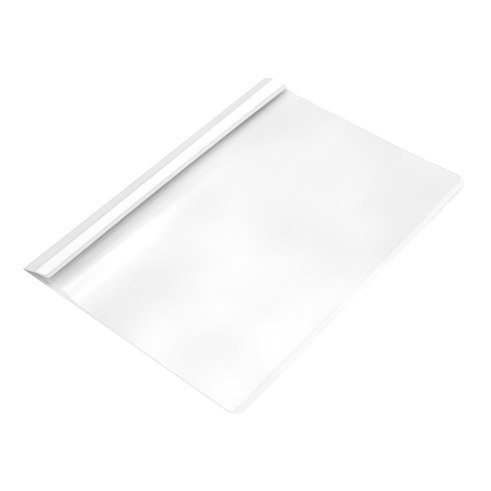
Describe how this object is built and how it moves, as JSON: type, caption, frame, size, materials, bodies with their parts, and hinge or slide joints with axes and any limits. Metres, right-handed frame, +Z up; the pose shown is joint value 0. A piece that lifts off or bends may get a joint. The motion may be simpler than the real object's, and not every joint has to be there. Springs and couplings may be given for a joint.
{
  "type": "fastener folder",
  "caption": "A4 report folder with a white plastic back, clear front cover, labelled spine strip and a two-prong paper fastener inside.",
  "frame": {"origin": "on the ground under the middle of the back cover", "axes": "+X from the spine to the fore edge, +Y up the spine, +Z up out of the closed front cover"},
  "size_m": [0.226, 0.31, 0.0095],
  "materials": {
    "white_sheet": "fine satin polypropylene sheet",
    "pocket_film": "thin clear glossy plastic film",
    "label_paper": "plain white uncoated paper",
    "clear_film": "clear glossy plastic film, slightly wavy",
    "carrier_plastic": "satin white plastic strip",
    "tinned_steel": "bright tinned steel strip",
    "bar_plastic": "smooth moulded white plastic"
  },
  "bodies": {
    "back": {"back_cover": "white_sheet", "fastener_carrier": "carrier_plastic", "prong_fastener": "tinned_steel", "compressor_bar": "bar_plastic"},
    "front": {"front_strip": "white_sheet", "label_window": "pocket_film", "label_insert": "label_paper", "clear_cover": "clear_film"}
  },
  "joints": [
    {"name": "front_opening", "type": "hinge", "parent": "back", "child": "front", "pos_m": [-0.113, 0, 0.0003], "axis": [0, -1, 0], "range_deg": [0, 150]}
  ]
}
